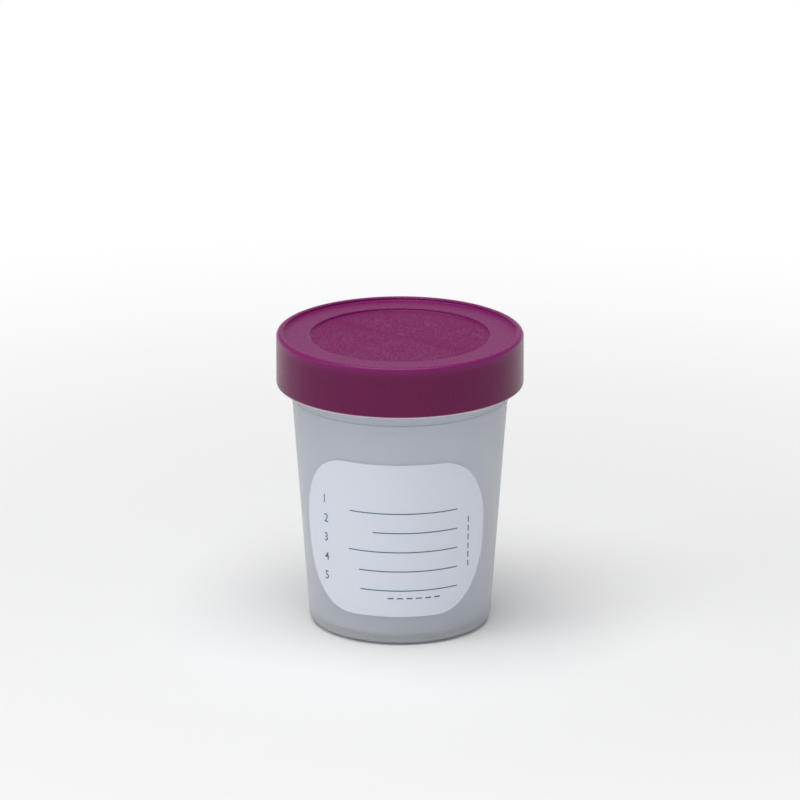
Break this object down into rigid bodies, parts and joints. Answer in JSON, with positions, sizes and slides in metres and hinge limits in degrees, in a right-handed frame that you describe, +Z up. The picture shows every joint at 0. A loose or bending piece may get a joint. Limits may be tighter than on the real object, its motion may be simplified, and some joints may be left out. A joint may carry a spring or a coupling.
{
  "type": "specimen container",
  "caption": "Tapered translucent specimen cup with a paper label, closed by a coloured screw cap that seals on its rim with a soft liner.",
  "frame": {"origin": "centre of the foot, on the surface the container stands on", "axes": "+Z up along the container's axis, -Y towards the front, where the label is"},
  "size_m": [0.0624, 0.0624, 0.076],
  "materials": {
    "cup": "frosted translucent polypropylene",
    "label": "smooth white label paper",
    "liner": "soft white foam",
    "cap": "satin plum polyethylene"
  },
  "bodies": {
    "cup": {"cup": "cup", "label": "label"},
    "liner": {"cap_liner": "liner"},
    "cap": {"screw_cap": "cap"}
  },
  "joints": [
    {"name": "cap_lift", "type": "slide", "parent": "cup", "child": "liner", "axis": [0, 0, 1], "range_m": [0, 0.02]},
    {"name": "cap_turn", "type": "hinge", "parent": "liner", "child": "cap", "pos_m": [0, 0, 0.0722], "axis": [0, 0, 1], "range_deg": [0, 900]}
  ],
  "couplings": [
    {"joint": "cap_lift", "follows": "cap_turn", "m_per_rad": 0.0012732}
  ]
}
